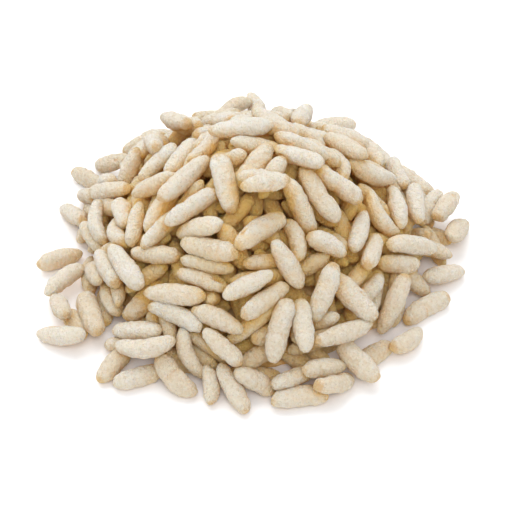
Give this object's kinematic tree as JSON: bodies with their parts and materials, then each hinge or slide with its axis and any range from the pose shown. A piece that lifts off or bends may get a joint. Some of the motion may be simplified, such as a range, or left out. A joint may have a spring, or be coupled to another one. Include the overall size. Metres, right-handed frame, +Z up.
{
  "type": "puffed rice heap",
  "caption": "Loose heap of long puffed rice grains as it lies on a flat surface: a low dome of crossed, pale grains with an uneven edge of stray grains.",
  "frame": {"origin": "on the flat underside, under the middle of the heap", "axes": "+Z up, the heap's height; the side that the long stray grains face most is towards -Y"},
  "size_m": [0.0889, 0.0905, 0.0323],
  "materials": {
    "puffed_rice": "matte, dry and finely wrinkled, cream with small grey-brown specks and tan tips"
  },
  "bodies": {
    "root": {"puffed_rice": "puffed_rice"}
  },
  "joints": []
}
